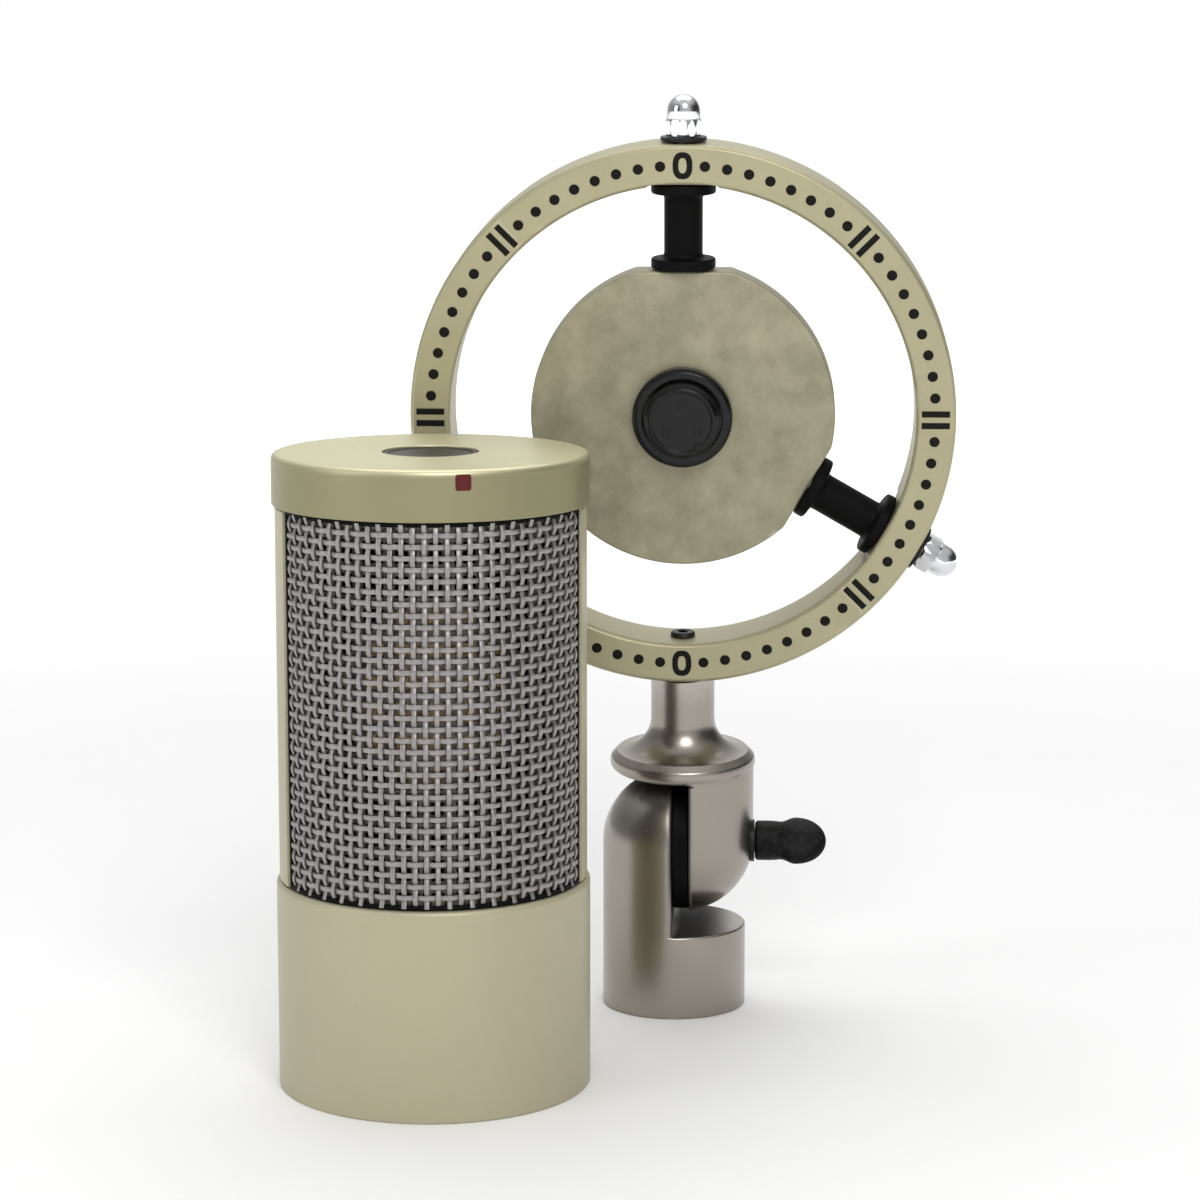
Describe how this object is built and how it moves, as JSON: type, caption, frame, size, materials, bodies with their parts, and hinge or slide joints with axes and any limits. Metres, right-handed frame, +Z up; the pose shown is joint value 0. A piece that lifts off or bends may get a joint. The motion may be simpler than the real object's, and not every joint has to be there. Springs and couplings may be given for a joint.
{
  "type": "studio microphone with shock mount",
  "caption": "Side-address studio microphone standing in front of its graduated ring shock mount, which tilts on a clamped swivel stand adapter.",
  "frame": {"origin": "middle of the footprint box, on the surface that the microphone and the swivel base stand on", "axes": "+Z up, the ring's scale faces -Y, the thumb screw points to +X"},
  "size_m": [0.1316, 0.1014, 0.1877],
  "materials": {
    "champagne": "bead-blasted champagne coat",
    "satin_nickel": "satin nickel plate, warm grey",
    "chrome": "polished",
    "wire_mesh": "woven wire, silver grey",
    "black_rubber": "matt",
    "black_plastic": "semi-matt, finely textured",
    "dark_steel": "black oxide",
    "steel": "zinc plate",
    "brass": "machined",
    "gold": "gold plate",
    "bronze_inlay": "dark satin",
    "red_mark": "enamel",
    "circuit_green": "solder mask"
  },
  "bodies": {
    "stand_base": {"swivel_base": "satin_nickel", "thread_adapter": "brass", "friction_washer": "black_rubber"},
    "tilting_ring": {"swivel_head": "satin_nickel", "scale_ring": "champagne", "ring_screw": "dark_steel", "isolator_top": "black_rubber", "isolator_right": "black_rubber", "isolator_left": "black_rubber", "ring_stud_top": "steel", "ring_stud_right": "steel", "ring_stud_left": "steel", "nut_washer_top": "dark_steel", "nut_washer_right": "dark_steel", "nut_washer_left": "dark_steel", "acorn_nut_top": "chrome", "acorn_nut_right": "chrome", "acorn_nut_left": "chrome"},
    "floating_disc": {"mount_disc": "champagne", "disc_stud_top": "steel", "disc_stud_right": "steel", "disc_stud_left": "steel", "hub_plug": "black_plastic", "index_pin": "brass", "rear_connector_shell": "satin_nickel", "rear_connector_insert": "black_plastic", "rear_connector_pins": "gold"},
    "locking_collar": {"hub_collar": "black_plastic"},
    "clamp_travel": {"clamp_washer": "steel"},
    "thumb_screw": {"clamp_shank": "steel", "thumb_grip": "black_plastic"},
    "microphone": {"body_shell": "champagne", "bottom_plate": "champagne", "bottom_screw_1": "dark_steel", "bottom_screw_2": "dark_steel", "bottom_screw_3": "dark_steel", "socket_cup": "black_plastic", "socket_contacts": "gold", "head_frame": "champagne", "outer_mesh_front": "wire_mesh", "outer_mesh_rear": "wire_mesh", "inner_mesh_front": "wire_mesh", "inner_mesh_rear": "wire_mesh", "top_cap": "champagne", "cap_inlay": "bronze_inlay", "front_mark": "red_mark", "cap_screw_1": "steel", "cap_screw_2": "steel", "deck_plate": "steel", "capsule_saddle": "black_plastic", "capsule_ring": "brass", "capsule_backplate": "brass", "diaphragm_front": "gold", "diaphragm_rear": "gold", "circuit_board": "circuit_green", "board_standoff_1": "brass", "board_standoff_2": "brass", "board_standoff_3": "brass", "output_transformer": "dark_steel", "coupling_capacitor": "black_plastic"}
  },
  "joints": [
    {"name": "swivel_tilt", "type": "hinge", "parent": "stand_base", "child": "tilting_ring", "pos_m": [0.01021, 0.03596, 0.0345], "axis": [1, 0, 0], "range_deg": [-94.5, 7.5]},
    {"name": "disc_float", "type": "slide", "parent": "tilting_ring", "child": "floating_disc", "axis": [0, -0.9969, -0.0785], "range_m": [-0.0025, 0.0025], "stiffness_N_per_m": 3200, "deforming": ["isolator_top", "isolator_right", "isolator_left"]},
    {"name": "collar_turn", "type": "hinge", "parent": "floating_disc", "child": "locking_collar", "pos_m": [0.01021, 0.0289, 0.12422], "axis": [0, -0.9969, -0.0785], "continuous": true},
    {"name": "thumb_screw_travel", "type": "slide", "parent": "stand_base", "child": "clamp_travel", "axis": [1, 0, 0], "range_m": [0, 0.0016]},
    {"name": "thumb_screw_turn", "type": "hinge", "parent": "clamp_travel", "child": "thumb_screw", "pos_m": [0.01021, 0.03596, 0.0345], "axis": [1, 0, 0], "range_deg": [0, 720]},
    {"name": "mic_lift", "type": "slide", "parent": "stand_base", "child": "microphone", "axis": [0, 0, 1], "range_m": [0, 0.2]}
  ],
  "couplings": [
    {"joint": "thumb_screw_turn", "follows": "thumb_screw_travel", "rad_per_m": 7853.9}
  ]
}
